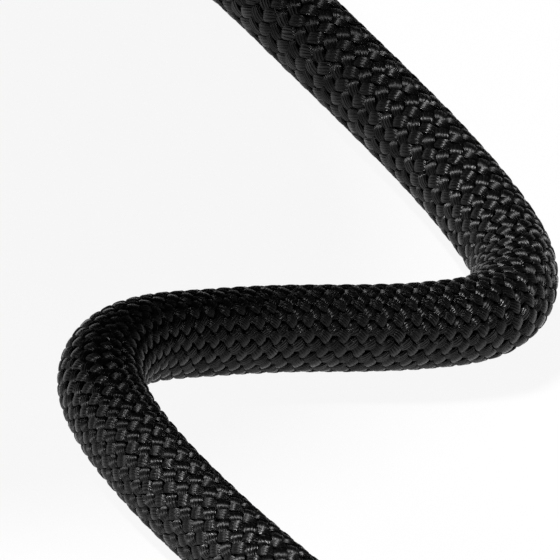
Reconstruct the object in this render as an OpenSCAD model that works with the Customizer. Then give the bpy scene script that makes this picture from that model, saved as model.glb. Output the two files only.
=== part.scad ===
// Dynamic climbing rope: twisted core strands in a braided sheath. A short length lies in a double bend,
// and the rest is wound into a round coil held by three ties. Millimetres, +Z up, origin on the floor
// under the middle of the footprint.

/* [Rope] */
// Diameter over the sheath
rope_d = 10; // [8.5:0.1:11]
// Length from end to end
rope_length = 30000; // [26000:500:34000]
// Wall of the braided sheath
sheath_wall = 1; // [0.8:0.05:1.2]
// Core strands that lie against the sheath
outer_strands = 9; // [6:1:9]
// Core strands in the middle
inner_strands = 3; // [2:1:3]
// Gap around each core strand and around the marker tape
strand_gap = 0.08; // [0.04:0.02:0.12]
// Width of the marker tape
tape_w = 1.4; // [0.8:0.1:1.6]
// Thickness of the marker tape
tape_t = 0.1; // [0.06:0.02:0.12]

/* [Coil] */
// Turns that lie side by side
coil_lanes = 6; // [4:2:6]
// Turns that lie on each other
coil_levels = 10; // [7:1:10]
// Gap between neighbouring turns
turn_gap = 0.5; // [0.45:0.05:1]
// Direction, from the coil's middle, at which the rope comes in
entry_angle = 75; // [60:5:80]
// Radius of the bend that takes the rope's end into the middle of the coil
tail_bend_r = 24; // [22:1:30]

/* [Rope ends] */
// Length of an end sleeve
sleeve_len = 30; // [20:1:34]
// Wall of an end sleeve
sleeve_wall = 0.7; // [0.5:0.1:1.2]
// Gap between rope and sleeve all round
sleeve_gap = 0.1; // [0.05:0.05:0.2]
// Length of the fused tip, past the sleeve
tip_len = 3; // [2:0.5:4]
// Rounding of the fused tip's rim
tip_round = 1.2; // [0.6:0.1:1.8]

/* [Coil ties] */
// Width of the strap
tie_w = 16; // [10:1:18]
// Thickness of the strap
tie_t = 1.2; // [0.8:0.1:1.6]
// Gap between strap and rope
tie_gap = 0.3; // [0.2:0.05:0.5]
// Corner radius inside the strap
tie_corner_r = 4; // [2:0.5:4.5]

/* [Hidden] */
$fn = 64;

// The double bend in plan, from the coil's first turn to the free end
ROUTE = [
    [0, 0], [15, -4], [30, -8], [45, -12.5], [59.5, -17.5], [73.5, -23.5], [87, -31], [98, -37],
    [104, -41.5], [116, -52.5], [126, -62], [130.5, -66.5], [141.5, -79.5], [145.5, -86.5],
    [147, -93], [145.5, -102], [140.5, -109.5], [135.5, -115], [126, -124], [121.5, -128.5],
    [116, -134.5], [109.5, -143], [107.5, -150], [108, -156.5], [111.5, -164], [118, -172],
    [128, -181], [136, -188.5], [141.5, -192.5], [165.5, -210.5]
];
// Route points at the free end that lie at the height of the sleeve
RAISED_POINTS = 3;

// Sides of the swept tubes, and rings to a turn of the coil
SHEATH_SIDES = 12;
STRAND_SIDES = 6;
COIL_SIDES = 6;
TURN_STEPS = 24;

// Rope
rope_r = rope_d / 2;
bore_r = rope_r - sheath_wall;
// The bore is a polygon, so what lies in it keeps to the circle inside its flats
bore_clear_r = bore_r * cos(180 / SHEATH_SIDES);
tape_at_r = bore_clear_r - strand_gap - tape_t / 2;
tape_angle = 90 + 180 / SHEATH_SIDES;
// The core fills the bore inside the tape: a ring of strands round the middle ones, each with its gap
core_r = tape_at_r - tape_t / 2 - strand_gap / 2;
strand_d = core_r / (1.5 + 0.5 / sin(180 / inner_strands)) - strand_gap;
strand_r = strand_d / 2;
outer_ring_r = core_r - (strand_d + strand_gap) / 2;
inner_ring_r = (strand_d + strand_gap) / 2 / sin(180 / inner_strands);

// Rope ends
sleeve_bore_r = rope_r + sleeve_gap;
sleeve_r = sleeve_bore_r + sleeve_wall;
route_end = len(ROUTE) - 1;
end_dir = unit(ROUTE[route_end] - ROUTE[route_end - 1]);
end_angle = atan2(end_dir.y, end_dir.x);

// Coil: up the outer lane, inward over the top, down the inner lane. Each move takes a quarter turn, and
// rises, moves inward and falls each have a quarter of their own, so that no two meet.
pitch = rope_d + turn_gap;
step_angle = 360 / TURN_STEPS;
quarter = TURN_STEPS / 4;
first_rise = 3 * quarter;
first_inward = (coil_levels - 1) * TURN_STEPS + 2 * quarter;
first_fall = first_inward + (coil_lanes - 1) * TURN_STEPS - quarter;
// The rope's end leaves the inner lane one step before the turn above it comes down
wind_end = first_fall + (coil_levels - 1) * TURN_STEPS - 1;
wind_end_angle = entry_angle + wind_end * step_angle;
TAIL_STEPS = 6;
tail_angle = wind_end_angle + TAIL_STEPS * step_angle + 90;

// The coil's radii come from the length of the whole rope. Each lane takes half a turn less than it has
// levels, and the first and the last take a little more.
coil_turns = coil_lanes * (coil_levels - 0.5) + 0.25 - 1 / TURN_STEPS;
tail_len = PI * tail_bend_r * TAIL_STEPS * step_angle / 180 + rope_d + sleeve_len;
free_len = route_length(route_end);
coil_mean_r = (rope_length - free_len - tail_len - rope_d) / (2 * PI * coil_turns);
outer_lane_r = coil_mean_r + (coil_lanes - 1) / 2 * pitch;
inner_lane_r = coil_mean_r - (coil_lanes - 1) / 2 * pitch;
joint = polar(outer_lane_r, entry_angle) + polar(rope_d, entry_angle - 90);
wound_h = (coil_levels - 1) * pitch + rope_d;
core_inner_r = inner_lane_r + rope_r + turn_gap;
core_outer_r = (outer_lane_r - rope_r) * cos(step_angle / 2) - turn_gap;
core_h = (coil_levels - 1) * pitch - turn_gap;

// Coil ties: the turns rise over a strap between LIFT_FROM and LIFT_TO degrees from its middle
TIE_ANGLES = [0, 120, 240];
LIFT_FROM = 45;
LIFT_TO = 15;
tie_outer = outer_lane_r + rope_r + tie_gap;
tie_inner = inner_lane_r - rope_r - tie_w / 2 * tan(step_angle / 2) - tie_gap;
tie_top = tie_t + wound_h + tie_gap;

// The coil's middle, placed so that the origin is under the middle of the footprint
wound_r = outer_lane_r + rope_r;
tip_corner = joint + ROUTE[route_end] + (tip_len - tip_round) * end_dir;
reach_x = tip_corner.x + (rope_r - tip_round) * abs(end_dir.y) + tip_round;
tip_y = tip_corner.y - (rope_r - tip_round) * abs(end_dir.x) - tip_round;
reach_y = min(-wound_r, tip_y);
coil_at = [(wound_r - reach_x) / 2, -(wound_r + reach_y) / 2, 0];

function unit(v) = v / norm(v);
function polar(r, a) = [r * cos(a), r * sin(a)];
function ease(t) = let (u = max(0, min(1, t))) u * u * (3 - 2 * u);
function polygon_ring(r, sides) = [for (k = [0:sides - 1]) polar(r, 360 * k / sides)];

// Length of the route up to a point
function route_length(i) = i == 0 ? 0 : norm(ROUTE[i] - ROUTE[i - 1]) + route_length(i - 1);

// A cross-section placed upright at a point: its x points to the right of the heading, its y up
function placed(section, at, z, heading, widen = 1) =
    let (side = polar(widen, heading - 90))
    [for (p = section) [at.x + p.x * side.x, at.y + p.x * side.y, z + p.y]];

// Cross-sections along the route
function leg_angle(i) = let (v = ROUTE[i] - ROUTE[i - 1]) atan2(v.y, v.x);
function route_angle(i) =
    i == 0 ? entry_angle - 90 : i == route_end ? end_angle : (leg_angle(i) + leg_angle(i + 1)) / 2;
function mitre(i) = i == 0 || i == route_end ? 1 : 1 / cos((leg_angle(i + 1) - leg_angle(i)) / 2);
function route_z(i) = i > route_end - RAISED_POINTS ? sleeve_r : rope_r;
function along_route(section) = [
    for (i = [0:route_end])
        placed(section, joint + ROUTE[i], route_z(i), route_angle(i), mitre(i))
];

// Moves made by a step of the coil, when one starts each turn and takes a quarter turn
function moves(step, first, count) =
    step <= first ? 0
    : let (done = floor((step - first) / TURN_STEPS))
        min(count, done + ease((step - first - done * TURN_STEPS) / quarter));
function lane_r(step) = outer_lane_r - pitch * moves(step, first_inward, coil_lanes - 1);
function level(step) =
    moves(step, first_rise, coil_levels - 1) - moves(step, first_fall, coil_levels - 1);
function off_tie(a) = min([for (t = TIE_ANGLES) abs(((a - t + 180) % 360 + 360) % 360 - 180)]);
function lift(a) = tie_t * ease((LIFT_FROM - off_tie(a)) / (LIFT_FROM - LIFT_TO));
function turn_z(step) = rope_r + pitch * level(step) + lift(entry_angle + step * step_angle);
function turn_xy(step) = polar(lane_r(step), entry_angle + step * step_angle);

// The rope's end, from the inner lane to the middle of the coil
tail_centre = polar(inner_lane_r - tail_bend_r, wind_end_angle);
tail_from = tail_centre + polar(tail_bend_r, tail_angle - 90);
function tail_bend_xy(i) = tail_centre + polar(tail_bend_r, wind_end_angle + i * step_angle);
function tail_bend_z(i) =
    i < 2 ? turn_z(wind_end + i) : rope_r + (sleeve_r - rope_r) * ease((i - 2) / (TAIL_STEPS - 2));

// The winding's centreline, each point with its heading, and its rings
winding = concat(
    [[joint, rope_r, entry_angle + 90]],
    [for (s = [0:wind_end]) [turn_xy(s), turn_z(s), entry_angle + s * step_angle + 90]],
    [for (i = [1:TAIL_STEPS]) [tail_bend_xy(i), tail_bend_z(i), wind_end_angle + i * step_angle + 90]],
    [for (d = [rope_d, rope_d + sleeve_len]) [tail_from + polar(d, tail_angle), sleeve_r, tail_angle]]
);
winding_points = [for (w = winding) [w[0].x, w[0].y, w[1]]];
function least_turn_gap() = min([
    for (i = [0:len(winding) - 1], j = [i + quarter:len(winding) - 1])
        norm(winding_points[i] - winding_points[j])
]) - rope_d;

// A closed tube through rings of points, and one with a bore, all faces triangles
module tube(rings) {
    n = len(rings[0]);
    ends = (len(rings) - 1) * n;
    walls = [
        for (i = [0:len(rings) - 2], k = [0:n - 1])
            let (a = i * n + k, b = i * n + (k + 1) % n)
            each [[a, b, b + n], [a, b + n, a + n]]
    ];
    caps = [for (k = [1:n - 2]) each [[0, k + 1, k], [ends, ends + k, ends + k + 1]]];
    polyhedron(points = [for (r = rings) each r], faces = concat(walls, caps));
}

module bored_tube(outer, inner) {
    n = len(outer[0]);
    count = len(outer) * n;
    ends = count - n;
    walls = [
        for (i = [0:len(outer) - 2], k = [0:n - 1])
            let (a = i * n + k, b = i * n + (k + 1) % n)
            each [
                [a, b, b + n], [a, b + n, a + n],
                [count + b, count + a, count + b + n], [count + b + n, count + a, count + a + n]
            ]
    ];
    rims = [
        for (k = [0:n - 1])
            let (j = (k + 1) % n)
            each [
                [k, count + k, count + j], [k, count + j, j],
                [ends + k, count + ends + j, count + ends + k], [ends + k, ends + j, count + ends + j]
            ]
    ];
    polyhedron(
        points = concat([for (r = outer) each r], [for (r = inner) each r]),
        faces = concat(walls, rims)
    );
}

// Rounded rectangle between two corners
module rounded_window(low, high, r) {
    translate([low.x + r, low.y]) square([high.x - low.x - 2 * r, high.y - low.y]);
    translate([low.x, low.y + r]) square([high.x - low.x, high.y - low.y - 2 * r]);
    for (x = [low.x + r, high.x - r], y = [low.y + r, high.y - r])
        translate([x, y]) circle(r);
}

module sheath() {
    color("#1d1d20")
        translate(coil_at)
            bored_tube(
                along_route(polygon_ring(rope_r, SHEATH_SIDES)),
                along_route(polygon_ring(bore_r, SHEATH_SIDES))
            );
}

module core_strand(number) {
    outer = number <= outer_strands;
    at = outer
        ? polar(outer_ring_r, 360 * number / outer_strands)
        : polar(inner_ring_r, 360 * (number - outer_strands) / inner_strands + 90);
    color("#efeeea")
        translate(coil_at)
            tube(along_route([for (p = polygon_ring(strand_r, STRAND_SIDES)) p + at]));
}

module marker_tape() {
    half_w = tape_w / 2;
    half_t = tape_t / 2;
    flat = [[half_t, half_w], [-half_t, half_w], [-half_t, -half_w], [half_t, -half_w]];
    turned = [
        for (p = flat)
            polar(tape_at_r + p.x, tape_angle) + polar(p.y, tape_angle + 90)
    ];
    color("#d8d27a") translate(coil_at) tube(along_route(turned));
}

module coil_outer_turns() {
    echo(str("least gap between turns: ", least_turn_gap(), " mm"));
    section = polygon_ring(rope_r, COIL_SIDES);
    color("#1d1d20")
        translate(coil_at)
            tube([for (w = winding) placed(section, w[0], w[1], w[2])]);
}

module coil_inner_turns() {
    color("#1d1d20")
        translate(coil_at)
            difference() {
                rotate_extrude()
                    translate([core_inner_r, 0]) square([core_outer_r - core_inner_r, core_h]);
                for (a = TIE_ANGLES)
                    rotate(a)
                        translate([core_inner_r - rope_d, -tie_w / 2 - tie_gap, -tie_t])
                            cube([
                                core_outer_r - core_inner_r + 2 * rope_d,
                                tie_w + 2 * tie_gap,
                                2 * tie_t + tie_gap
                            ]);
            }
}

// An end sleeve or a fused tip, starting at a point on the floor plan and pointing along an angle
module at_end(from, angle) {
    translate(coil_at)
        translate([from.x, from.y, sleeve_r])
            rotate([0, 90, angle])
                children();
}

module end_sleeve() {
    color("#2a2a2d")
        difference() {
            cylinder(r = sleeve_r, h = sleeve_len);
            translate([0, 0, -1]) cylinder(r = sleeve_bore_r, h = sleeve_len + 2);
        }
}

module end_tip() {
    color("#111113")
        rotate_extrude() {
            square([rope_r, tip_len - tip_round]);
            square([rope_r - tip_round, tip_len]);
            intersection() {
                translate([rope_r - tip_round, tip_len - tip_round]) circle(tip_round);
                square([rope_r, tip_len]);
            }
        }
}

module free_end_sleeve() {
    at_end(joint + ROUTE[route_end] - sleeve_len * end_dir, end_angle) end_sleeve();
}

module free_end_tip() {
    at_end(joint + ROUTE[route_end], end_angle) end_tip();
}

module coil_end_sleeve() {
    at_end(tail_from + polar(rope_d, tail_angle), tail_angle) end_sleeve();
}

module coil_end_tip() {
    at_end(tail_from + polar(rope_d + sleeve_len, tail_angle), tail_angle) end_tip();
}

module coil_tie(number) {
    color("#3b3d42")
        translate(coil_at)
            rotate(TIE_ANGLES[number - 1])
                rotate([90, 0, 0])
                    linear_extrude(tie_w, center = true)
                        difference() {
                            rounded_window(
                                [tie_inner - tie_t, 0], [tie_outer + tie_t, tie_top + tie_t],
                                tie_corner_r + tie_t
                            );
                            rounded_window([tie_inner, tie_t], [tie_outer, tie_top], tie_corner_r);
                        }
}

sheath();
for (i = [1:outer_strands + inner_strands])
    core_strand(i);
marker_tape();
coil_outer_turns();
coil_inner_turns();
free_end_sleeve();
free_end_tip();
coil_end_sleeve();
coil_end_tip();
coil_tie(1);  // coil_tie_1
coil_tie(2);  // coil_tie_2
coil_tie(3);  // coil_tie_3
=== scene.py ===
import math

import bpy
import numpy as np
from mathutils import Matrix, Vector


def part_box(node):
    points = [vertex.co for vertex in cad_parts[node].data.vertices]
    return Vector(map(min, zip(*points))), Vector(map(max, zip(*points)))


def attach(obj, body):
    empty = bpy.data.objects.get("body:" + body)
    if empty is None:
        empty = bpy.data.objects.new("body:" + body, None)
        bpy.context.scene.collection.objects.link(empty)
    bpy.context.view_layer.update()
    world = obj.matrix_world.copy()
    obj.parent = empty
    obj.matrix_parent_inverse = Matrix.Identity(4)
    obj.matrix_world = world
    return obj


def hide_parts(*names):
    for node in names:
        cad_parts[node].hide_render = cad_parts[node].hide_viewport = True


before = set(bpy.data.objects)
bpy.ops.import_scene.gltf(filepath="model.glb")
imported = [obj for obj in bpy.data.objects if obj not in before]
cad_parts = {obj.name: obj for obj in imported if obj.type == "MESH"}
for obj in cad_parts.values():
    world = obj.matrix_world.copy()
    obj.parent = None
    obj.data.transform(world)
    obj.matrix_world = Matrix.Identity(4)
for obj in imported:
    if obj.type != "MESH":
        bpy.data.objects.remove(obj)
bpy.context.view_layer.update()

# Sizes are in millimetres, as in the part's source, and turned into metres when a mesh is made.
MM = 0.001

# Rope
ROPE_D = 10.0
ROPE_R = ROPE_D / 2
ROPE_LENGTH = 30000.0
BACKING_R = 4.05  # the dark tube that shows between the yarns
COILED_R = 4.95

# Rope ends
SLEEVE_LEN = 30.0
SLEEVE_R = 5.8
SLEEVE_BORE_R = 5.1
TIP_LEN = 3.0
TIP_RIM_R = 1.2
END_SIDES = 72

# Core: nine strands in a ring against the sheath and three in the middle, each of three twisted plies
STRAND_D = 1.674
OUTER_STRANDS, OUTER_RING_R = 9, 2.767
INNER_STRANDS, INNER_RING_R = 3, 1.013
STRAND_TWIST = 9.0
STRAND_SIDES = 18

# Marker tape, between two outer strands and the sheath
TAPE_ANGLE = 105.0
TAPE_R = 3.774
TAPE_HALF_W = 0.7
TAPE_RIPPLE = 0.02

# Coil
LANES = 6
LEVELS = 10
PITCH = 10.5
ENTRY = 75.0
TAIL_BEND_R = 24.0
TAIL_BEND = 90.0
LANE_TURNS = LEVELS - 0.5
COIL_TURNS = LANES * LANE_TURNS + 0.25 - 1 / 24
RINGS_A_TURN = 60
FINE_RINGS_A_TURN = 600
INNER_TURN_SHIFT = 2.6

# Coil ties
TIE_ANGLES = (0.0, 120.0, 240.0)
TIE_W = 16.0
TIE_T = 1.2
STRAP_RINGS = 280
STRAP_BEND_STEPS = 8
OVERLAP = (28.0, 62.0)
OVERLAP_RINGS = 40
STITCH = 1.9
STITCH_R = 0.22
# A stitch's middle line: how far along it, and how far it stands out of the strap
STITCH_ARCH = ((0.0, -0.14), (0.15, 0.04), (0.65, 0.14), (1.15, 0.04), (1.3, -0.14))
SEAM_HALF_W = 6.0
SEAM_MARGIN = 5.0
# Degrees from a tie at which the turns begin to rise over it, and at which they are up
LIFT_FROM = 45.0
LIFT_TO = 15.0

# The yarns are laid in full from the free end to under the second tie, and again from under that tie
# to the coil's own end
YARNS_UNTIL_TURN = (TIE_ANGLES[1] - ENTRY) / 360
YARNS_FROM_TURN = COIL_TURNS - (ENTRY + 360 * COIL_TURNS - TIE_ANGLES[1]) % 360 / 360

# The double bend in plan, from the coil's first turn to the free end
ROUTE = [
    (0, 0), (15, -4), (30, -8), (45, -12.5), (59.5, -17.5), (73.5, -23.5), (87, -31), (98, -37),
    (104, -41.5), (116, -52.5), (126, -62), (130.5, -66.5), (141.5, -79.5), (145.5, -86.5),
    (147, -93), (145.5, -102), (140.5, -109.5), (135.5, -115), (126, -124), (121.5, -128.5),
    (116, -134.5), (109.5, -143), (107.5, -150), (108, -156.5), (111.5, -164), (118, -172),
    (128, -181), (136, -188.5), (141.5, -192.5), (165.5, -210.5),
]
RAISED_POINTS = 3

# Braid: carriers each way
CARRIERS = 16
# The distance along the rope between two yarns of one direction, at distances from the free end: the
# yarns bunch up in and between the bends
BRAID_SPACING = (
    (0, 2.75), (45, 2.75), (54, 2.6), (64, 2.3), (74, 2.15), (109, 2.35),
    (122, 2.7), (134, 2.4), (178, 3.35), (195, 3.5), (212, 3.75), (240, 3.6),
)
YARN_T = 0.52
YARN_RINGS = 10  # in one over and under
YARN_PIECE_LAYS = 2.7
YARN_GIRTH = 4.0
YARN_WANDER = 0.018
YARN_RISE = 0.025
YARN_SPREAD = 0.05

# Camera
VIEW_POINT = (122.0, -104.0)
VIEW_ELEVATION = 26.0
VIEW_ROLL = 22.0
VIEW_WIDTH = 63.64
VIEW_DISTANCE = 3000.0

# Studio
WORLD_LEVEL = 0.03
FLOOR_GLOW = 0.92
FLOOR_R = 30.0
# Degrees above the floor: up to the first the background is white, from the second it is dark
WHITE_UP_TO = 3.0
DARK_FROM = 6.0

# Finish of the black yarns. Heights are in metres.
FILAMENTS_ACROSS = 2.0
FILAMENT_RISE = 0.00012
# The darker gap colour is painted shade between the filaments and between the braid's yarns; the crest colour
# is the yarn's own black.
BLACK_GAP_PAINTED_SHADE = (0.001, 0.001, 0.001)
BLACK_CREST = (0.0015, 0.0015, 0.0015)
YARN_ROUGHNESS = (0.6, 0.36)
GAP_ROUGHNESS = 0.95
BRAID_RISE = 0.0008


# ---------------------------------------------------------------- the rope's line

def polar(r, degrees):
    return np.array([r * math.cos(math.radians(degrees)), r * math.sin(math.radians(degrees))])


def ease(t):
    u = np.clip(t, 0, 1)
    return u * u * (3 - 2 * u)


def lengths_along(line):
    return np.concatenate([[0], np.cumsum(np.linalg.norm(np.diff(line, axis=0), axis=1))])


def smooth_line(points, start_heading, end_heading, step):
    """A cubic spline through the points with the given headings at its ends, sampled about a step apart."""
    at = lengths_along(points)
    gap = np.diff(at)
    n = len(points)
    slopes = np.zeros((n, n))
    wanted = np.zeros((n, 3))
    slopes[0, 0] = slopes[-1, -1] = 1
    wanted[0], wanted[-1] = start_heading, end_heading
    for i in range(1, n - 1):
        slopes[i, i - 1:i + 2] = 1 / gap[i - 1], 2 / gap[i - 1] + 2 / gap[i], 1 / gap[i]
        wanted[i] = 3 * (
            (points[i] - points[i - 1]) / gap[i - 1] ** 2 + (points[i + 1] - points[i]) / gap[i] ** 2
        )
    slope = np.linalg.solve(slopes, wanted)
    out = []
    for i in range(n - 1):
        t = np.linspace(0, 1, max(2, math.ceil(gap[i] / step)), endpoint=False)[:, None]
        a, b = points[i], points[i + 1]
        ma, mb = slope[i] * gap[i], slope[i + 1] * gap[i]
        out.append(
            (2 * t**3 - 3 * t**2 + 1) * a + (t**3 - 2 * t**2 + t) * ma
            + (3 * t**2 - 2 * t**3) * b + (t**3 - t**2) * mb
        )
    return np.vstack([*out, points[-1:]])


def route_length():
    return lengths_along(np.array(ROUTE, float))[-1]


TAIL_LENGTH = math.radians(TAIL_BEND) * TAIL_BEND_R + ROPE_D + SLEEVE_LEN
COIL_MEAN_R = (ROPE_LENGTH - route_length() - TAIL_LENGTH - ROPE_D) / (2 * math.pi * COIL_TURNS)
OUTER_LANE_R = COIL_MEAN_R + (LANES - 1) / 2 * PITCH
INNER_LANE_R = COIL_MEAN_R - (LANES - 1) / 2 * PITCH

box_low, box_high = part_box("coil_outer_turns")
COIL_AT = np.array([
    box_low.x / MM + OUTER_LANE_R + ROPE_R,
    (box_low.y + box_high.y) / 2 / MM,
])
JOINT = COIL_AT + polar(OUTER_LANE_R, ENTRY) + polar(ROPE_D, ENTRY - 90)


def heading(degrees):
    return np.append(polar(1, degrees), 0)


def free_stretch():
    """The line from the joint with the coil to the free end."""
    points = np.array([
        [*(JOINT + np.array(p)), SLEEVE_R if i >= len(ROUTE) - RAISED_POINTS else ROPE_R]
        for i, p in enumerate(ROUTE)
    ])
    end = points[-1] - points[-2]
    return smooth_line(points, heading(ENTRY - 90), end / np.linalg.norm(end), 0.5)


def tie_lift(angles):
    """How far the turns are raised where they pass over a tie."""
    off = np.min([np.abs((angles - a + 180) % 360 - 180) for a in TIE_ANGLES], axis=0)
    return TIE_T * ease((LIFT_FROM - off) / (LIFT_FROM - LIFT_TO))


def winding(turn):
    """Angle, distance from the coil's middle and height of the rope's middle at a number of turns.

    It goes up a lane, inward over the top, down the next and inward over the floor, six lanes in all.
    """
    lane = sum(ease((turn - LANE_TURNS * (i + 1)) / 0.25) for i in range(LANES - 1))
    number = np.minimum(turn // LANE_TURNS, LANES - 1)
    since = turn - LANE_TURNS * number - 0.75
    climbed = np.where(since > 0, np.floor(since) + ease((since - np.floor(since)) / 0.25), 0)
    climbed = np.minimum(climbed, LEVELS - 1)
    level = np.where(number % 2 == 0, climbed, LEVELS - 1 - climbed)
    # Inside the coil the turns of every other lane sit between the turns beside them
    hidden = (number % 2 == 1) * ease(level) * (LEVELS - 1 - level) / (LEVELS - 2)
    angle = ENTRY + 360 * turn
    z = ROPE_R + PITCH * level + tie_lift(angle) + INNER_TURN_SHIFT * hidden
    return angle, OUTER_LANE_R - PITCH * lane, z


def coil_line():
    """The whole winding and its tail, with finer steps where the yarns are laid in full."""
    turn = np.concatenate([
        np.arange(0, YARNS_UNTIL_TURN, 1 / FINE_RINGS_A_TURN),
        np.arange(YARNS_UNTIL_TURN, YARNS_FROM_TURN, 1 / RINGS_A_TURN),
        np.arange(YARNS_FROM_TURN, COIL_TURNS, 1 / FINE_RINGS_A_TURN),
        [COIL_TURNS],
    ])
    angle, r, z = winding(turn)
    a = np.radians(angle)
    wound = np.stack([COIL_AT[0] + r * np.cos(a), COIL_AT[1] + r * np.sin(a), z], axis=1)

    leaves = ENTRY + 360 * COIL_TURNS
    centre = COIL_AT + polar(INNER_LANE_R - TAIL_BEND_R, leaves)
    low = tie_lift(np.array([leaves]))[0]
    tail = []
    for b in np.linspace(0, 1, 31)[1:]:
        z = ROPE_R + low * ease(1 - 6 * b) + (SLEEVE_R - ROPE_R) * ease(1.5 * b - 0.5)
        tail.append([*(centre + polar(TAIL_BEND_R, leaves + TAIL_BEND * b)), z])
    straight_on = heading(leaves + TAIL_BEND + 90)
    tail = np.array(tail)
    straight = [tail[-1] + straight_on * d for d in np.linspace(0, ROPE_D + SLEEVE_LEN, 21)[1:]]
    return np.vstack([wound, tail, straight])


def with_spacing(line, step):
    along = lengths_along(line)
    at = np.linspace(0, along[-1], max(2, math.ceil(along[-1] / step) + 1))
    return np.stack([np.interp(at, along, line[:, k]) for k in range(3)], axis=1)


def line_axes(line):
    """Along, side and up directions at each point of a line that lies nearly flat."""
    t = np.gradient(line, axis=0)
    t /= np.linalg.norm(t, axis=1)[:, None]
    side = np.cross([0, 0, 1], t)
    side /= np.linalg.norm(side, axis=1)[:, None]
    return t, side, np.cross(t, side)


# ---------------------------------------------------------------- meshes

def add_piece(name, points, faces, uvs=None, material=None, replaces=(), slot=None):
    """A smooth mesh from points in millimetres, with an (along, across) pair for each corner of each face."""
    mesh = bpy.data.meshes.new(name)
    mesh.from_pydata((np.asarray(points) * MM).tolist(), [], faces)
    # Only the quads are smooth: a flat end cap leaves the shading of the sides as it is
    mesh.polygons.foreach_set("use_smooth", [len(face) == 4 for face in faces])
    if uvs is not None:
        layer = mesh.uv_layers.new(name="lay")
        layer.data.foreach_set("uv", np.asarray(uvs, np.float32).ravel())
    if material:
        mesh.materials.append(material)
    mesh.validate()
    piece = bpy.data.objects.new(name, mesh)
    bpy.context.scene.collection.objects.link(piece)
    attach(piece, "root")
    if replaces:
        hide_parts(*replaces)
    return piece


def tube_faces(rings, sides, first=0):
    """Quads between rings of points, and the two end caps."""
    i, k = np.meshgrid(np.arange(rings - 1), np.arange(sides), indexing="ij")
    a = first + i * sides + k
    b = first + i * sides + (k + 1) % sides
    quads = np.stack([a, a + sides, b + sides, b], axis=-1).reshape(-1, 4)
    start = list(range(first, first + sides))
    end = list(range(first + (rings - 1) * sides, first + rings * sides))
    return quads.tolist() + [start, end[::-1]]


def tube_uvs(along, sides, across_scale=1.0, across_from=0.0):
    """(along, across) for the corners of tube_faces, with across running once round the tube."""
    rings = len(along)
    i, k = np.meshgrid(np.arange(rings - 1), np.arange(sides), indexing="ij")
    near, far = along[i], along[i + 1]
    one, two = k / sides, (k + 1) / sides
    quads = np.stack([
        np.stack([near, one], -1), np.stack([far, one], -1),
        np.stack([far, two], -1), np.stack([near, two], -1),
    ], axis=2).reshape(-1, 2)
    around = np.arange(sides) / sides
    start = np.stack([np.full(sides, along[0]), around], 1)
    end = np.stack([np.full(sides, along[-1]), around[::-1]], 1)
    uvs = np.vstack([quads, start, end])
    uvs[:, 1] = across_from + across_scale * uvs[:, 1]
    return uvs


def round_rings(line, radii, sides):
    _, side, up = line_axes(line)
    a = 2 * np.pi * np.arange(sides) / sides
    ring = np.cos(a)[None, :, None] * side[:, None] + np.sin(a)[None, :, None] * up[:, None]
    return line[:, None] + np.asarray(radii)[:, None, None] * ring


# ---------------------------------------------------------------- finishes

def new_material(name):
    material = bpy.data.materials.new(name)
    material.use_nodes = True
    return material, material.node_tree.nodes, material.node_tree.links


def group_node(nodes, group, **values):
    node = nodes.new("ShaderNodeGroup")
    node.node_tree = group
    for name, value in values.items():
        node.inputs[name].default_value = value
    return node


def math_node(nodes, links, operation, a, b=None):
    node = nodes.new("ShaderNodeMath")
    node.operation = operation
    for socket, value in zip(node.inputs, (a, b)):
        if value is None:
            continue
        if isinstance(value, (int, float)):
            socket.default_value = value
        else:
            links.new(value, socket)
    return node.outputs[0]


def fibre_lines_group():
    """Fine filaments that run along a yarn: their height, and how light each one is."""
    group = bpy.data.node_groups.new("fibre_lines", "ShaderNodeTree")
    face = group.interface
    face.new_socket("Lay", in_out="INPUT", socket_type="NodeSocketVector")
    for name, value in (("Across", 9.0), ("Along", 0.5), ("Detail", 3.0)):
        face.new_socket(name, in_out="INPUT", socket_type="NodeSocketFloat").default_value = value
    face.new_socket("Height", in_out="OUTPUT", socket_type="NodeSocketFloat")
    face.new_socket("Lightness", in_out="OUTPUT", socket_type="NodeSocketFloat")
    nodes, links = group.nodes, group.links
    given, out = nodes.new("NodeGroupInput"), nodes.new("NodeGroupOutput")
    parts = nodes.new("ShaderNodeSeparateXYZ")
    links.new(given.outputs["Lay"], parts.inputs[0])
    stretched = nodes.new("ShaderNodeCombineXYZ")
    for i, way in enumerate(("Along", "Across")):
        scaled = math_node(nodes, links, "MULTIPLY", parts.outputs[i], given.outputs[way])
        links.new(scaled, stretched.inputs[i])
    lines = nodes.new("ShaderNodeTexNoise")
    lines.noise_dimensions = "2D"
    lines.inputs["Scale"].default_value = 1.0
    lines.inputs["Roughness"].default_value = 0.6
    links.new(given.outputs["Detail"], lines.inputs["Detail"])
    links.new(stretched.outputs[0], lines.inputs["Vector"])
    links.new(lines.outputs["Fac"], out.inputs["Height"])
    broad = nodes.new("ShaderNodeTexNoise")
    broad.noise_dimensions = "2D"
    broad.inputs["Scale"].default_value = 0.35
    broad.inputs["Detail"].default_value = 2.0
    links.new(stretched.outputs[0], broad.inputs["Vector"])
    links.new(broad.outputs["Fac"], out.inputs["Lightness"])
    return group


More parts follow.
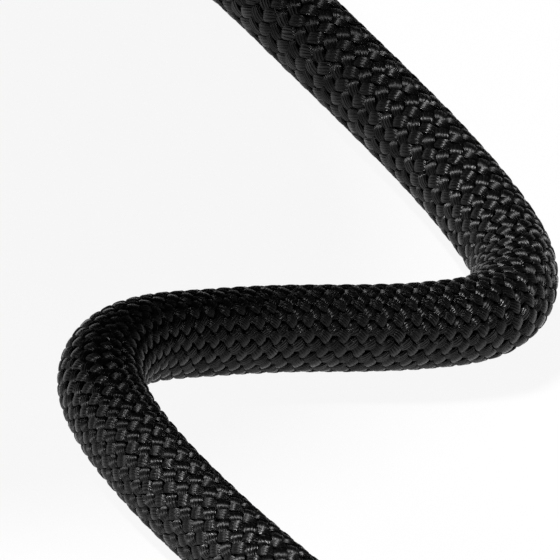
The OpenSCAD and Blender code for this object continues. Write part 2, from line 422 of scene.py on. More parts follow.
def filaments_group():
    """Filaments side by side along a yarn: round ridges that sway a little, each lighter or darker. Their
    Lightness falls to nothing between the ridges, a painted shade there.
    """
    group = bpy.data.node_groups.new("filaments", "ShaderNodeTree")
    face = group.interface
    face.new_socket("Lay", in_out="INPUT", socket_type="NodeSocketVector")
    for name, value in (("Across", 2.0), ("Along", 0.3), ("Sway", 1.5)):
        face.new_socket(name, in_out="INPUT", socket_type="NodeSocketFloat").default_value = value
    for name in ("Height", "Lightness", "Patch"):
        face.new_socket(name, in_out="OUTPUT", socket_type="NodeSocketFloat")
    nodes, links = group.nodes, group.links
    given, out = nodes.new("NodeGroupInput"), nodes.new("NodeGroupOutput")
    parts = nodes.new("ShaderNodeSeparateXYZ")
    links.new(given.outputs["Lay"], parts.inputs[0])

    def op(name, a, b=None):
        return math_node(nodes, links, name, a, b)

    def noise(along, across, detail):
        place = nodes.new("ShaderNodeCombineXYZ")
        links.new(along, place.inputs[0])
        links.new(across, place.inputs[1])
        cloud = nodes.new("ShaderNodeTexNoise")
        cloud.noise_dimensions = "2D"
        cloud.inputs["Scale"].default_value = 1.0
        cloud.inputs["Detail"].default_value = detail
        links.new(place.outputs[0], cloud.inputs["Vector"])
        return cloud.outputs["Fac"]

    along = op("MULTIPLY", parts.outputs[0], given.outputs["Along"])
    across = parts.outputs[1]
    drift = op("SUBTRACT", noise(along, op("MULTIPLY", across, 0.8), 2.0), 0.5)
    sway = op("MULTIPLY", drift, given.outputs["Sway"])
    place = op("ADD", op("MULTIPLY", across, given.outputs["Across"]), sway)
    number = op("FLOOR", place)
    ridge = op("ABSOLUTE", op("SINE", op("MULTIPLY", place, math.pi)))
    lightness = noise(op("ADD", along, op("MULTIPLY", number, 5.1)), op("MULTIPLY", number, 3.7), 1.0)
    links.new(op("MULTIPLY", ridge, op("ADD", lightness, 0.5)), out.inputs["Height"])
    # Painted shade: the lightness is zero between the ridges, with a random tone for each filament.
    links.new(op("MULTIPLY", ridge, lightness), out.inputs["Lightness"])
    links.new(noise(op("MULTIPLY", along, 0.8), op("MULTIPLY", across, 0.15), 0.0), out.inputs["Patch"])
    return group


def braid_group():
    """Over-and-under yarns of a round braid, by how far round (across) and how many lays along a point is."""
    group = bpy.data.node_groups.new("round_braid", "ShaderNodeTree")
    face = group.interface
    face.new_socket("Lay", in_out="INPUT", socket_type="NodeSocketVector")
    face.new_socket("Carriers", in_out="INPUT", socket_type="NodeSocketFloat").default_value = CARRIERS
    face.new_socket("Height", in_out="OUTPUT", socket_type="NodeSocketFloat")
    face.new_socket("Fibre Lay", in_out="OUTPUT", socket_type="NodeSocketVector")
    nodes, links = group.nodes, group.links
    given, out = nodes.new("NodeGroupInput"), nodes.new("NodeGroupOutput")
    parts = nodes.new("ShaderNodeSeparateXYZ")
    links.new(given.outputs["Lay"], parts.inputs[0])
    along, across = parts.outputs[0], parts.outputs[1]

    def op(name, a, b=None):
        return math_node(nodes, links, name, a, b)

    right = op("MULTIPLY", op("SUBTRACT", across, along), given.outputs["Carriers"])
    left = op("MULTIPLY", op("ADD", across, along), given.outputs["Carriers"])
    right_yarn, left_yarn = op("ROUND", right), op("ROUND", left)
    off_right, off_left = op("SUBTRACT", right, right_yarn), op("SUBTRACT", left, left_yarn)
    left_over = op("FLOORED_MODULO", op("ADD", right_yarn, left_yarn), 2.0)

    def pick(if_right, if_left):
        mix = nodes.new("ShaderNodeMix")
        links.new(left_over, mix.inputs["Factor"])
        links.new(if_right, mix.inputs["A"])
        links.new(if_left, mix.inputs["B"])
        return mix.outputs["Result"]

    from_middle = pick(off_right, off_left)
    from_crossing = pick(off_left, off_right)
    fall = op("MULTIPLY", op("POWER", from_middle, 2.0), 3.9)
    crown = op("SQRT", op("MAXIMUM", op("SUBTRACT", 1.0, fall), 0.0))
    float_shape = op("COSINE", op("MULTIPLY", from_crossing, math.pi * 0.94))
    links.new(op("MULTIPLY", crown, float_shape), out.inputs["Height"])
    lay = nodes.new("ShaderNodeCombineXYZ")
    links.new(pick(left, right), lay.inputs[0])
    links.new(pick(right, left), lay.inputs[1])
    links.new(lay.outputs[0], out.inputs["Fibre Lay"])
    return group


def lay_coordinates(nodes):
    node = nodes.new("ShaderNodeUVMap")
    node.uv_map = "lay"
    return node.outputs["UV"]


def bump(nodes, links, height, strength, distance, below=None):
    node = nodes.new("ShaderNodeBump")
    node.inputs["Strength"].default_value = strength
    node.inputs["Distance"].default_value = distance
    links.new(height, node.inputs["Height"])
    if below is not None:
        links.new(below, node.inputs["Normal"])
    return node.outputs["Normal"]


def colour_ramp(nodes, links, value, stops):
    node = nodes.new("ShaderNodeValToRGB")
    ramp = node.color_ramp
    ramp.elements[0].position, ramp.elements[0].color = stops[0][0], (*stops[0][1], 1)
    ramp.elements[1].position, ramp.elements[1].color = stops[-1][0], (*stops[-1][1], 1)
    for place, colour in stops[1:-1]:
        ramp.elements.new(place).color = (*colour, 1)
    links.new(value, node.inputs["Fac"])
    return node.outputs["Color"]


def spread_to(nodes, links, value, low, high):
    node = nodes.new("ShaderNodeMapRange")
    node.inputs["From Min"].default_value, node.inputs["From Max"].default_value = 0.25, 0.75
    node.inputs["To Min"].default_value, node.inputs["To Max"].default_value = low, high
    links.new(value, node.inputs["Value"])
    return node.outputs["Result"]


def fibre_direction(nodes, links, surface, strength):
    """Filaments shine across themselves: the highlight is drawn out square to the yarn."""
    surface.inputs["Anisotropic"].default_value = strength
    surface.inputs["Anisotropic Rotation"].default_value = 0.25
    tangent = nodes.new("ShaderNodeTangent")
    tangent.direction_type = "UV_MAP"
    tangent.uv_map = "lay"
    links.new(tangent.outputs["Tangent"], surface.inputs["Tangent"])


def black_filaments(nodes, links, surface, lines, lightness, roughness, below=None):
    """Black nylon filaments. Their colour is painted darker between the ridges as shade, and it also varies
    at random.
    """
    links.new(
        colour_ramp(nodes, links, lightness, [(0.12, BLACK_GAP_PAINTED_SHADE), (0.6, BLACK_CREST)]),
        surface.inputs["Base Color"],
    )
    links.new(roughness, surface.inputs["Roughness"])
    surface.inputs["IOR"].default_value = 1.3
    surface.inputs["Specular IOR Level"].default_value = 1.0
    ridges = bump(nodes, links, lines.outputs["Height"], 1.0, FILAMENT_RISE, below)
    links.new(ridges, surface.inputs["Normal"])


def black_yarn(filaments):
    """Black filament nylon, as it lies in the braid: shinier in some patches than in others."""
    material, nodes, links = new_material("black_yarn")
    surface = nodes["Principled BSDF"]
    lines = group_node(nodes, filaments, Across=FILAMENTS_ACROSS, Along=0.3)
    links.new(lay_coordinates(nodes), lines.inputs["Lay"])
    shine = spread_to(nodes, links, lines.outputs["Patch"], *YARN_ROUGHNESS)
    # The colour darkens between the filaments: painted shade, with a random tone along them.
    black_filaments(nodes, links, surface, lines, lines.outputs["Lightness"], shine)
    fibre_direction(nodes, links, surface, 1.0)
    return material


def coiled_sheath(filaments, braid):
    """The braid on the coiled turns, and the dark backing between the yarns of the free stretch."""
    material, nodes, links = new_material("coiled_sheath")
    surface = nodes["Principled BSDF"]
    pattern = group_node(nodes, braid, Carriers=float(CARRIERS))
    links.new(lay_coordinates(nodes), pattern.inputs["Lay"])
    lines = group_node(nodes, filaments, Across=5.0, Along=0.8)
    links.new(pattern.outputs["Fibre Lay"], lines.inputs["Lay"])
    height = pattern.outputs["Height"]
    # Painted shade: the colour is darker at the edges of the braid's yarns, where they dip under one another,
    # and between the filaments.
    shade = math_node(nodes, links, "MULTIPLY", height, lines.outputs["Lightness"])
    # Only the crowns of the yarns shine
    shine = spread_to(nodes, links, height, GAP_ROUGHNESS, YARN_ROUGHNESS[1])
    braided = bump(nodes, links, height, 1.0, BRAID_RISE)
    black_filaments(nodes, links, surface, lines, shade, shine, braided)
    return material


def white_strand(fibres):
    """Undyed twisted nylon of the core."""
    material, nodes, links = new_material("white_strand")
    surface = nodes["Principled BSDF"]
    lines = group_node(nodes, fibres, Across=14.0, Along=0.4, Detail=3.0)
    links.new(lay_coordinates(nodes), lines.inputs["Lay"])
    links.new(
        colour_ramp(nodes, links, lines.outputs["Lightness"],
                    [(0.25, (0.62, 0.61, 0.57)), (0.75, (0.86, 0.855, 0.83))]),
        surface.inputs["Base Color"],
    )
    links.new(spread_to(nodes, links, lines.outputs["Height"], 0.6, 0.45), surface.inputs["Roughness"])
    surface.inputs["Sheen Weight"].default_value = 0.15
    links.new(bump(nodes, links, lines.outputs["Height"], 0.5, 0.0001), surface.inputs["Normal"])
    return material


def marker_film():
    """Thin yellow tape with a faint crinkle."""
    material, nodes, links = new_material("marker_film")
    surface = nodes["Principled BSDF"]
    crinkle = nodes.new("ShaderNodeTexNoise")
    crinkle.noise_dimensions = "2D"
    crinkle.inputs["Scale"].default_value = 0.9
    crinkle.inputs["Detail"].default_value = 4.0
    links.new(lay_coordinates(nodes), crinkle.inputs["Vector"])
    links.new(
        colour_ramp(nodes, links, crinkle.outputs["Fac"],
                    [(0.3, (0.6, 0.56, 0.2)), (0.7, (0.74, 0.7, 0.3))]),
        surface.inputs["Base Color"],
    )
    links.new(spread_to(nodes, links, crinkle.outputs["Fac"], 0.45, 0.3), surface.inputs["Roughness"])
    links.new(bump(nodes, links, crinkle.outputs["Fac"], 0.4, 0.0002), surface.inputs["Normal"])
    return material


def shrunk_tubing():
    """Black tubing shrunk onto the rope: satin, with fine scuffs."""
    material, nodes, links = new_material("shrunk_tubing")
    surface = nodes["Principled BSDF"]
    place = nodes.new("ShaderNodeTexCoord")
    scuffs = nodes.new("ShaderNodeTexNoise")
    scuffs.inputs["Scale"].default_value = 900.0
    scuffs.inputs["Detail"].default_value = 5.0
    scuffs.inputs["Roughness"].default_value = 0.65
    links.new(place.outputs["Object"], scuffs.inputs["Vector"])
    links.new(
        colour_ramp(nodes, links, scuffs.outputs["Fac"],
                    [(0.35, (0.012, 0.012, 0.013)), (0.75, (0.028, 0.028, 0.03))]),
        surface.inputs["Base Color"],
    )
    links.new(spread_to(nodes, links, scuffs.outputs["Fac"], 0.34, 0.52), surface.inputs["Roughness"])
    surface.inputs["Specular IOR Level"].default_value = 0.3
    links.new(bump(nodes, links, scuffs.outputs["Fac"], 0.25, 0.00008), surface.inputs["Normal"])
    return material


def fused_nylon():
    """The melted and hardened end of the rope."""
    material, nodes, links = new_material("fused_nylon")
    surface = nodes["Principled BSDF"]
    place = nodes.new("ShaderNodeTexCoord")
    flow = nodes.new("ShaderNodeTexNoise")
    flow.inputs["Scale"].default_value = 420.0
    flow.inputs["Detail"].default_value = 3.0
    links.new(place.outputs["Object"], flow.inputs["Vector"])
    links.new(
        colour_ramp(nodes, links, flow.outputs["Fac"],
                    [(0.35, (0.008, 0.008, 0.008)), (0.7, (0.03, 0.028, 0.026))]),
        surface.inputs["Base Color"],
    )
    links.new(spread_to(nodes, links, flow.outputs["Fac"], 0.22, 0.42), surface.inputs["Roughness"])
    links.new(bump(nodes, links, flow.outputs["Fac"], 0.5, 0.0003), surface.inputs["Normal"])
    return material


def grey_webbing(fibres):
    """Dark grey woven webbing: ribs across the strap, threads along it."""
    material, nodes, links = new_material("grey_webbing")
    surface = nodes["Principled BSDF"]
    lay = lay_coordinates(nodes)
    parts = nodes.new("ShaderNodeSeparateXYZ")
    links.new(lay, parts.inputs[0])

    def op(name, a, b=None):
        return math_node(nodes, links, name, a, b)

    def ribs(place):
        return op("ABSOLUTE", op("SINE", op("MULTIPLY", place, math.pi)))

    across = op("MULTIPLY", parts.outputs[1], 1.6)
    column = op("ROUND", across)
    pick = ribs(op("ADD", op("MULTIPLY", parts.outputs[0], 1.3), op("MULTIPLY", column, 0.5)))
    warp = ribs(op("ADD", across, 0.5))
    weave = op("SQRT", op("MULTIPLY", pick, warp))
    lines = group_node(nodes, fibres, Across=8.0, Along=0.6, Detail=3.0)
    links.new(lay, lines.inputs["Lay"])
    # Painted shade: the colour darkens in the grooves between the ribs and the threads; the fibre lines vary
    # it at random.
    shade = op("MULTIPLY", weave, lines.outputs["Lightness"])
    links.new(
        colour_ramp(nodes, links, shade,
                    [(0.05, (0.008, 0.008, 0.009)), (0.55, (0.055, 0.057, 0.064))]),
        surface.inputs["Base Color"],
    )
    surface.inputs["Roughness"].default_value = 0.75
    surface.inputs["Sheen Weight"].default_value = 0.15
    woven = bump(nodes, links, weave, 1.0, 0.0003)
    links.new(bump(nodes, links, lines.outputs["Height"], 0.4, 0.0001, woven), surface.inputs["Normal"])
    return material


def sewing_thread(fibres):
    """Light grey bonded thread."""
    material, nodes, links = new_material("sewing_thread")
    surface = nodes["Principled BSDF"]
    lines = group_node(nodes, fibres, Across=9.0, Along=2.0, Detail=2.0)
    links.new(lay_coordinates(nodes), lines.inputs["Lay"])
    links.new(
        colour_ramp(nodes, links, lines.outputs["Height"],
                    [(0.3, (0.2, 0.2, 0.21)), (0.7, (0.34, 0.34, 0.35))]),
        surface.inputs["Base Color"],
    )
    surface.inputs["Roughness"].default_value = 0.5
    links.new(bump(nodes, links, lines.outputs["Height"], 0.5, 0.00005), surface.inputs["Normal"])
    return material


# ---------------------------------------------------------------- pieces

stretch = with_spacing(free_stretch()[::-1], 1.0)  # from the free end to the joint
rope_line = np.vstack([stretch[:-1], coil_line()])
rope_along = lengths_along(rope_line)
rope_t, rope_side, _ = line_axes(rope_line)


def braid_spacing(s):
    """Distance along the rope between two yarns of one direction, by distance from the free end."""
    return np.interp(s, *zip(*BRAID_SPACING))


# Lays of the braid from the free end: one lay is a full turn of a yarn round the rope
rope_lays = np.concatenate([[0], np.cumsum(
    np.diff(rope_along) / (CARRIERS * braid_spacing((rope_along[1:] + rope_along[:-1]) / 2))
)])


def at_lay(lay):
    """The rope's middle and its three directions at places along the braid."""
    s = np.interp(lay, rope_lays, rope_along)
    place, t, side = (
        np.stack([np.interp(s, rope_along, values[:, k]) for k in range(3)], axis=1)
        for values in (rope_line, rope_t, rope_side)
    )
    t /= np.linalg.norm(t, axis=1)[:, None]
    side /= np.linalg.norm(side, axis=1)[:, None]
    return place, t, side, np.cross(t, side)


def unevenness(lays, seed):
    """A slow wave between -1 and 1, different for each yarn."""
    waves = ((5.3, 1.9), (8.9, 4.4), (12.7, 2.6))
    return sum(np.sin(2 * np.pi * often * lays + shift * seed) for often, shift in waves) / len(waves)


def yarn_section():
    """Half sizes of a yarn's section, flat over the crown and narrower underneath: (across, height)."""
    places = (-0.985, -0.88, -0.66, -0.4, -0.13, 0.13, 0.4, 0.66, 0.88, 0.985)
    crown = [(x, (1 - abs(x) ** 2.8) ** 0.5) for x in places]
    return np.array([*crown, (0.9, -0.35), (0.4, -0.8), (-0.4, -0.8), (-0.9, -0.35)])


YARN_SECTION = yarn_section()


def yarn(direction, number, lays):
    """Rings of one sheath yarn between two places along the braid, and how far along it each ring is."""
    centre, t, side, up = at_lay(lays)
    seed = number + 20 * direction
    turn = 2 * np.pi * (number / CARRIERS + direction * lays) + YARN_WANDER * unevenness(lays, seed + 7)
    wave = np.cos(2 * np.pi * CARRIERS * lays) * direction
    wave = wave * (1.5 - 0.5 * wave**2)
    middle_r = ROPE_R - YARN_T + YARN_RISE * (unevenness(lays, seed + 3) - 1)
    out = np.cos(turn)[:, None] * side + np.sin(turn)[:, None] * up
    line = centre + (middle_r + 0.5 * YARN_T * wave)[:, None] * out
    along = np.gradient(line, axis=0)
    along /= np.linalg.norm(along, axis=1)[:, None]
    normal = out - (out * along).sum(1)[:, None] * along
    normal /= np.linalg.norm(normal, axis=1)[:, None]
    across = np.cross(along, normal)
    room = 2 * np.pi * middle_r / CARRIERS * np.abs((along * t).sum(1))
    half_w = 0.5 * room * (0.96 + 0.06 * wave + YARN_SPREAD * unevenness(lays, seed))
    half_t = 0.5 * YARN_T * (1.04 - 0.04 * wave)
    rings = (
        line[:, None]
        + (half_w[:, None] * YARN_SECTION[:, 0])[:, :, None] * across[:, None]
        + (half_t[:, None] * YARN_SECTION[:, 1])[:, :, None] * normal[:, None]
    )
    return rings, lengths_along(line)


def sheath_yarns(name, direction, lay_from, lay_to, material):
    """All the yarns of one direction over a stretch of the rope, as one piece."""
    steps = round((lay_to - lay_from) * CARRIERS * YARN_RINGS) + 1
    lays = np.linspace(lay_from, lay_to, steps)
    points, faces, uvs = [], [], []
    sides = len(YARN_SECTION)
    for number in range(CARRIERS):
        rings, along = yarn(direction, number, lays)
        faces += tube_faces(steps, sides, len(points) * steps * sides)
        uvs.append(tube_uvs(along + 31.7 * number, sides, YARN_GIRTH, 5.3 * number))
        points.append(rings.reshape(-1, 3))
    return add_piece(name, np.vstack(points), faces, np.vstack(uvs), material, slot="sheath")


def all_sheath_yarns(material):
    """The yarns of both directions, in pieces of a few lays each."""
    until = rope_lays[len(stretch) - 1 + round(YARNS_UNTIL_TURN * FINE_RINGS_A_TURN)]
    tail_rings = 50 + 1 + round((COIL_TURNS - YARNS_FROM_TURN) * FINE_RINGS_A_TURN)
    again = rope_lays[-tail_rings]
    pieces = []
    count = math.ceil(until / YARN_PIECE_LAYS)
    for way, direction in (("right", 1), ("left", -1)):
        for i in range(count):
            a, b = until * i / count, until * (i + 1) / count
            pieces.append(sheath_yarns(f"sheath_yarns_{way}_{i + 1}", direction, a, b, material))
        pieces.append(sheath_yarns(f"sheath_yarns_{way}_tail", direction, again, rope_lays[-1], material))
    return pieces, np.interp([until, again], rope_lays, rope_along)


def whole_rope(material, until, again):
    """One tube of the rope's full length: the backing under the yarns, and every turn of the coil."""
    covered = (rope_along < until - 1) | (rope_along > again + 1)
    sides = 12
    rings = round_rings(rope_line, np.where(covered, BACKING_R, COILED_R), sides)
    return add_piece(
        "rope", rings.reshape(-1, 3), tube_faces(len(rope_line), sides), tube_uvs(rope_lays, sides),
        material, replaces=("sheath", "coil_outer_turns", "coil_inner_turns"), slot="sheath",
    )


def core_strand(number, ring_r, degrees, material):
    """A strand of three twisted plies, held at its place in the core."""
    line, sides = stretch, STRAND_SIDES
    _, side, up = line_axes(line)
    place = polar(ring_r, degrees)
    middle = line + place[0] * side + place[1] * up
    around = 2 * np.pi * np.arange(sides) / sides
    twist = 2 * np.pi * np.arange(len(line)) / STRAND_TWIST
    r = STRAND_D / 2 * (0.9 + 0.1 * np.cos(3 * (around[None] - twist[:, None])))
    rings = (
        middle[:, None]
        + (r * np.cos(around))[:, :, None] * side[:, None]
        + (r * np.sin(around))[:, :, None] * up[:, None]
    )
    return add_piece(
        f"core_strand_{number}_twisted", rings.reshape(-1, 3), tube_faces(len(line), sides),
        tube_uvs(lengths_along(line) + 17 * number, sides, 5.0, 7.0 * number), material,
        replaces=(f"core_strand_{number}",), slot="core_strand",
    )


def marker_tape(material):
    """A thin strip with a slight ripple."""
    line = stretch
    _, side, up = line_axes(line)
    a = math.radians(TAPE_ANGLE)
    out = math.cos(a) * side + math.sin(a) * up
    across = -math.sin(a) * side + math.cos(a) * up
    s = lengths_along(line)
    ripple = TAPE_RIPPLE * np.sin(s * 0.9) * np.sin(s * 0.37)
    w = TAPE_HALF_W
    section = ((w, 0.045), (0, 0.05), (-w, 0.045), (-w, -0.045), (0, -0.05), (w, -0.045))
    rings = np.stack([line + (TAPE_R + ripple + h)[:, None] * out + x * across for x, h in section], axis=1)
    return add_piece(
        "marker_tape_strip", rings.reshape(-1, 3), tube_faces(len(line), len(section)),
        tube_uvs(s, len(section), 3.0), material, replaces=("marker_tape",), slot="marker_tape",
    )


def lathe(name, end, direction, profile, material, shape=None, **more):
    """A turned piece along a direction, from (distance, radius) pairs; shape moves its points outward."""
    sides = END_SIDES
    direction = np.append(direction, 0)
    up = np.array([0, 0, 1.0])
    side = np.cross(up, direction)
    a = 2 * np.pi * np.arange(sides) / sides
    d = np.array([p[0] for p in profile])[:, None]
    r = np.array([p[1] for p in profile])[:, None] * np.ones(sides)
    if shape:
        r = r + shape(d, a[None])
    round_it = (r * np.cos(a))[:, :, None] * side + (r * np.sin(a))[:, :, None] * up
    rings = end + d[:, :, None] * direction + round_it
    faces = tube_faces(len(profile), sides)
    return add_piece(name, rings.reshape(-1, 3), faces, tube_uvs(d[:, 0], sides, 30.0), material, **more)


def end_sleeve(name, node, rope_end, direction, material):
    """Tubing shrunk over the last of the braid, whose yarns press faintly through it.

    Its ends turn in to the rope.
    """
    rings = 60
    outer = [(-SLEEVE_LEN + SLEEVE_LEN * i / rings, SLEEVE_R - 0.06) for i in range(rings + 1)]
    outer[0], outer[-1] = (-SLEEVE_LEN, SLEEVE_R - 0.3), (0.0, SLEEVE_R - 0.3)
    outer.insert(1, (-SLEEVE_LEN + 0.12, SLEEVE_R - 0.1))
    outer.insert(-1, (-0.12, SLEEVE_R - 0.1))
    profile = [(-SLEEVE_LEN + 0.05, SLEEVE_BORE_R), *outer, (-0.05, SLEEVE_BORE_R)]

    def pressed(d, a):
        lays = d / (CARRIERS * BRAID_SPACING[0][1])
        inside = ((d > -SLEEVE_LEN + 0.3) & (d < -0.3)).astype(float)
        checks = np.cos(CARRIERS * (a - 2 * np.pi * lays) / 2) * np.cos(CARRIERS * (a + 2 * np.pi * lays) / 2)
        return 0.05 * inside * np.abs(checks) - 0.015 * inside * np.sin(3 * a + 0.4 * d)

    return lathe(name, rope_end, direction, profile, material, pressed, replaces=(node,), slot="end_sleeve")


def end_tip(name, node, rope_end, direction, seed, material):
    """Nylon that ran together when the end was cut: a slightly uneven dome with a drawn-out rim."""
    base = [(0.0, ROPE_R), (0.5, ROPE_R), (1.1, ROPE_R)]
    rim = [
        (TIP_LEN + TIP_RIM_R * (math.sin(a) - 1), ROPE_R + TIP_RIM_R * (math.cos(a) - 1))
        for a in np.linspace(0, math.pi / 2, 9)
    ]
    hollow = [(TIP_LEN - 0.12, 2.6), (TIP_LEN - 0.3, 1.4), (TIP_LEN - 0.35, 0.4)]
    profile = base + rim + hollow

    def uneven(d, a):
        lumps = np.sin(5 * a + seed + 2 * d) * np.sin(3 * a - 1.7 * d + 2 * seed)
        return -0.09 * (1 + lumps) * np.clip(d, 0, 1)

    return lathe(name, rope_end, direction, profile, material, uneven, replaces=(node,), slot="end_tip")


def strap_line(degrees):
    """A strap's middle line, pulled tight round the turns that pass at an angle.

    Its points are (distance from the coil's middle, height), once round from the outer side's foot.
    """
    turn = (degrees - ENTRY) % 360 / 360 + np.arange(math.ceil(COIL_TURNS))
    _, r, z = winding(turn[turn < COIL_TURNS])
    centres = sorted(zip(r.tolist(), z.tolist()))

    def bends_in(a, b, c):
        return (b[0] - a[0]) * (c[1] - a[1]) <= (b[1] - a[1]) * (c[0] - a[0])

    def lower_side(points):
        side = []
        for p in points:
            while len(side) > 1 and bends_in(side[-2], side[-1], p):
                side.pop()
            side.append(p)
        return side[:-1]

    corners = lower_side(centres) + lower_side(centres[::-1])
    first = max(range(len(corners)), key=lambda i: corners[i][0] - corners[i][1])
    corners = corners[first:] + corners[:first]
    line = []
    off = ROPE_R + TIE_T / 2
    for i, (r, z) in enumerate(corners):
        before, after = corners[i - 1], corners[(i + 1) % len(corners)]
        a = math.atan2(z - before[1], r - before[0]) - math.pi / 2
        b = math.atan2(after[1] - z, after[0] - r) - math.pi / 2
        bend = (b - a) % (2 * math.pi)
        for k in range(STRAP_BEND_STEPS + 1):
            turned = a + bend * k / STRAP_BEND_STEPS
            line.append((r + off * math.cos(turned), z + off * math.sin(turned)))
    return np.array([*line, line[0]])


def strap_section():
    """A webbing strap's section with thin rounded edges: (across, thickness)."""
    half_w, half_t = TIE_W / 2, TIE_T / 2
    edge = [(half_w - 0.5, half_t), (half_w - 0.12, 0.7 * half_t), (half_w, 0)]
    side = edge + [(y, -z) for y, z in edge[1::-1]]
    flat = [((half_w - 0.5) * (1 - i / 4), -half_t) for i in range(1, 8)]
    return np.array(side + flat + [(-y, -z) for y, z in side] + [(-y, half_t) for y, z in flat])


def coil_tie(number, degrees, webbing, thread):
    """A webbing band round the coil, closed by a sewn overlap on its outer side."""
    section = strap_section()
    sides = len(section)

    def place(r, across, z):
        """A point at a distance from the coil's middle, moved sideways round it."""
        a = math.radians(degrees) + across / r
        return np.stack([COIL_AT[0] + r * np.cos(a), COIL_AT[1] + r * np.sin(a), z + 0 * r], axis=-1)

    def swept(line):
        t = np.gradient(line, axis=0)
        t /= np.linalg.norm(t, axis=1)[:, None]
        r = line[:, :1] + section[:, 1] * t[:, 1:]
        z = line[:, 1:] - section[:, 1] * t[:, :1]
        return place(r, section[:, 0], z)

    closed = strap_line(degrees)
    along = lengths_along(closed)
    steps = np.linspace(0, along[-1], STRAP_RINGS)
    band = swept(np.stack([np.interp(steps, along, closed[:, k]) for k in range(2)], 1))
    band[-1] = band[0]
    points = [band.reshape(-1, 3)]
    faces = tube_faces(STRAP_RINGS, sides)[:-2]
    uvs = [tube_uvs(steps, sides, 2 * TIE_W)[:-2 * sides]]

    # The overlap is a second layer whose two ends are sewn down to the band
    outer_r = OUTER_LANE_R + ROPE_R + TIE_T
    layer = 0.98 * TIE_T
    low, high = OVERLAP
    z = np.linspace(low, high, OVERLAP_RINGS)
    r = outer_r - TIE_T / 2 + layer * ease(np.minimum(z - low, high - z) / 2.2 + 0.35)
    points.append(swept(np.stack([r, z], 1)).reshape(-1, 3))
    faces += tube_faces(OVERLAP_RINGS, sides, len(points[0]))
    uvs.append(tube_uvs(z, sides, 2 * TIE_W))
    webbing_faces = len(faces)

    # Stitches: a box round the overlap and a cross in it
    left, right, foot, head = -SEAM_HALF_W, SEAM_HALF_W, low + SEAM_MARGIN, high - SEAM_MARGIN
    rows = [((left, foot), (right, foot)), ((left, head), (right, head)), ((left, foot), (left, head))]
    rows += [((right, foot), (right, head)), ((left, foot), (right, head)), ((right, foot), (left, head))]
    thread_sides = 6
    around = 2 * np.pi * np.arange(thread_sides) / thread_sides
    for start, end in rows:
        start, end = np.array(start), np.array(end)
        length = np.linalg.norm(end - start)
        run = (end - start) / length
        beside = np.array([-run[1], run[0]])
        for k in range(int(length // STITCH)):
            stitch = []
            for d, h in STITCH_ARCH:
                p = start + run * (STITCH * k + d)
                for turned in around:
                    out = outer_r + layer + h + STITCH_R * math.sin(turned)
                    across, height = p + STITCH_R * math.cos(turned) * beside
                    stitch.append(place(np.array(out), across, height))
            faces += tube_faces(len(STITCH_ARCH), thread_sides, sum(len(p) for p in points))
            uvs.append(tube_uvs(np.linspace(0, STITCH_ARCH[-1][0], len(STITCH_ARCH)), thread_sides, 1.0))
            points.append(np.array(stitch))
    piece = add_piece(
        f"coil_tie_{number}_webbing", np.vstack(points), faces, np.vstack(uvs), webbing,
        replaces=(f"coil_tie_{number}",), slot="coil_tie",
    )
    piece.data.materials.append(thread)
    piece.data.polygons.foreach_set("material_index", [int(i >= webbing_faces) for i in range(len(faces))])
    return piece


# ---------------------------------------------------------------- stage

def add_camera():
    """Low over the floor, and rolled so that the right side of what it sees leans down."""
    e, roll = math.radians(VIEW_ELEVATION), math.radians(VIEW_ROLL)
    flat_right = Vector((1, 0, 0))
    flat_up = Vector((0, math.sin(e), math.cos(e)))
    right = math.cos(roll) * flat_right + math.sin(roll) * flat_up
    up = -math.sin(roll) * flat_right + math.cos(roll) * flat_up
    back = right.cross(up)
    data = bpy.data.cameras.new("camera")
    data.sensor_width = 36
    data.lens = 36 * VIEW_DISTANCE / VIEW_WIDTH
    data.clip_start, data.clip_end = 0.05, 20
    camera = bpy.data.objects.new("camera", data)
    middle = Vector((*(JOINT + np.array(VIEW_POINT)), 0)) * MM
    turned = Matrix((right, up, back)).transposed().to_4x4()
    camera.matrix_world = Matrix.Translation(middle + back * VIEW_DISTANCE * MM) @ turned
    bpy.context.scene.collection.objects.link(camera)
    bpy.context.scene.camera = camera


def add_lamp(name, azimuth, elevation, softness, level):
    """A far soft lamp, by its compass angle and height; at level 1 a surface facing it shows its colour."""
    data = bpy.data.lights.new(name, "SUN")
    data.angle = math.radians(softness)
    data.energy = math.pi * level
    lamp = bpy.data.objects.new(name, data)
    a, e = math.radians(azimuth), math.radians(elevation)
    towards = Vector((math.cos(a) * math.cos(e), math.sin(a) * math.cos(e), math.sin(e)))
    lamp.rotation_euler = towards.to_track_quat("Z", "Y").to_euler()
    bpy.context.scene.collection.objects.link(lamp)


def background_rays(nodes, links):
    """1 for the rays that show the background itself or its reflection, 0 for the light it gives."""
    path = nodes.new("ShaderNodeLightPath")
    either = math_node(nodes, links, "MAXIMUM", path.outputs["Is Camera Ray"], path.outputs["Is Glossy Ray"])
    return math_node(nodes, links, "MAXIMUM", either, path.outputs["Is Transmission Ray"])


def white_floor():
    """Matte white that keeps a soft shadow."""
    material, nodes, links = new_material("white_floor")
    surface = nodes["Principled BSDF"]
    surface.inputs["Base Color"].default_value = (0.86, 0.86, 0.86, 1)
    surface.inputs["Roughness"].default_value = 0.9
    surface.inputs["Specular IOR Level"].default_value = 0.1
    glow = nodes.new("ShaderNodeEmission")
    glow.inputs["Strength"].default_value = 1.0
    mix = nodes.new("ShaderNodeMixShader")
    shown = math_node(nodes, links, "MULTIPLY", background_rays(nodes, links), FLOOR_GLOW)
    links.new(shown, mix.inputs["Fac"])
    links.new(surface.outputs["BSDF"], mix.inputs[1])
    links.new(glow.outputs["Emission"], mix.inputs[2])
    links.new(mix.outputs["Shader"], nodes["Material Output"].inputs["Surface"])
    return material


def add_floor():
    """A white floor that reaches to the horizon."""
    n, r = 96, FLOOR_R
    rim = [(r * math.cos(2 * math.pi * k / n), r * math.sin(2 * math.pi * k / n), 0) for k in range(n)]
    mesh = bpy.data.meshes.new("floor")
    mesh.from_pydata(rim, [], [tuple(range(n))])
    mesh.materials.append(white_floor())
    floor = bpy.data.objects.new("floor", mesh)
    bpy.context.scene.collection.objects.link(floor)


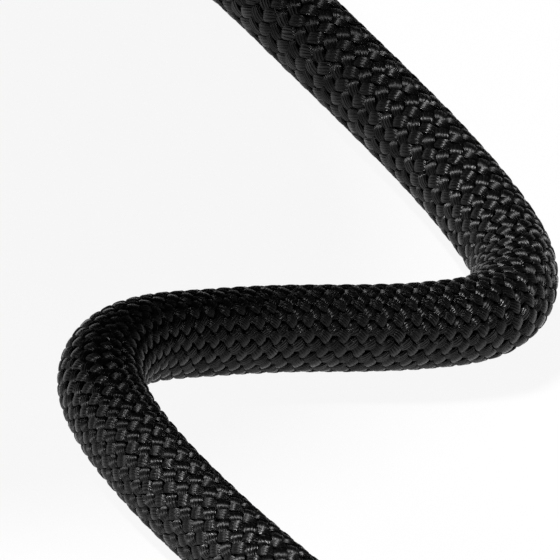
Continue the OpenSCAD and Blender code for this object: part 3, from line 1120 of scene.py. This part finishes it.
def add_world():
    """An even, dim light from all round. As a background it is white like the floor, and dark high up."""
    world = bpy.data.worlds.new("studio")
    bpy.context.scene.world = world
    world.use_nodes = True
    nodes, links = world.node_tree.nodes, world.node_tree.links
    direction = nodes.new("ShaderNodeTexCoord")
    parts = nodes.new("ShaderNodeSeparateXYZ")
    links.new(direction.outputs["Generated"], parts.inputs[0])
    low = nodes.new("ShaderNodeMapRange")
    low.interpolation_type = "SMOOTHSTEP"
    low.inputs["From Min"].default_value = math.sin(math.radians(WHITE_UP_TO))
    low.inputs["From Max"].default_value = math.sin(math.radians(DARK_FROM))
    low.inputs["To Min"].default_value, low.inputs["To Max"].default_value = 1.0, WORLD_LEVEL
    links.new(parts.outputs[2], low.inputs["Value"])
    shown = math_node(nodes, links, "MULTIPLY", background_rays(nodes, links), low.outputs["Result"])
    links.new(
        math_node(nodes, links, "MAXIMUM", shown, WORLD_LEVEL), nodes["Background"].inputs["Strength"]
    )
    nodes["Background"].inputs["Color"].default_value = (1, 1, 1, 1)


# ---------------------------------------------------------------- build

add_camera()
fibres = fibre_lines_group()
braid = braid_group()
filaments = filaments_group()
sheath_finish = coiled_sheath(filaments, braid)
yarn_finish = black_yarn(filaments)
strand_finish = white_strand(fibres)
sleeve_finish = shrunk_tubing()
tip_finish = fused_nylon()
webbing_finish = grey_webbing(fibres)
thread_finish = sewing_thread(fibres)

yarn_pieces, (yarns_until, yarns_again) = all_sheath_yarns(yarn_finish)
rope = whole_rope(sheath_finish, yarns_until, yarns_again)

for i in range(1, OUTER_STRANDS + 1):
    core_strand(i, OUTER_RING_R, 360 * i / OUTER_STRANDS, strand_finish)
for i in range(1, INNER_STRANDS + 1):
    core_strand(OUTER_STRANDS + i, INNER_RING_R, 360 * i / INNER_STRANDS + 90, strand_finish)
marker_tape(marker_film())

free_end, coil_end = rope_line[0], rope_line[-1]
free_direction, coil_direction = -rope_t[0][:2], rope_t[-1][:2]
ends = [
    end_sleeve("free_end_tubing", "free_end_sleeve", free_end, free_direction, sleeve_finish),
    end_tip("free_end_melt", "free_end_tip", free_end, free_direction, 0.4, tip_finish),
    end_sleeve("coil_end_tubing", "coil_end_sleeve", coil_end, coil_direction, sleeve_finish),
    end_tip("coil_end_melt", "coil_end_tip", coil_end, coil_direction, 2.1, tip_finish),
]
ties = [coil_tie(i + 1, a, webbing_finish, thread_finish) for i, a in enumerate(TIE_ANGLES)]

add_floor()
add_world()
add_lamp("key", 172, 56, 10, 1.3)
add_lamp("side", -139, 10, 10, 0.5)
add_lamp("front", -79, 4, 10, 0.3)

scene = bpy.context.scene
scene.view_settings.view_transform = "Standard"
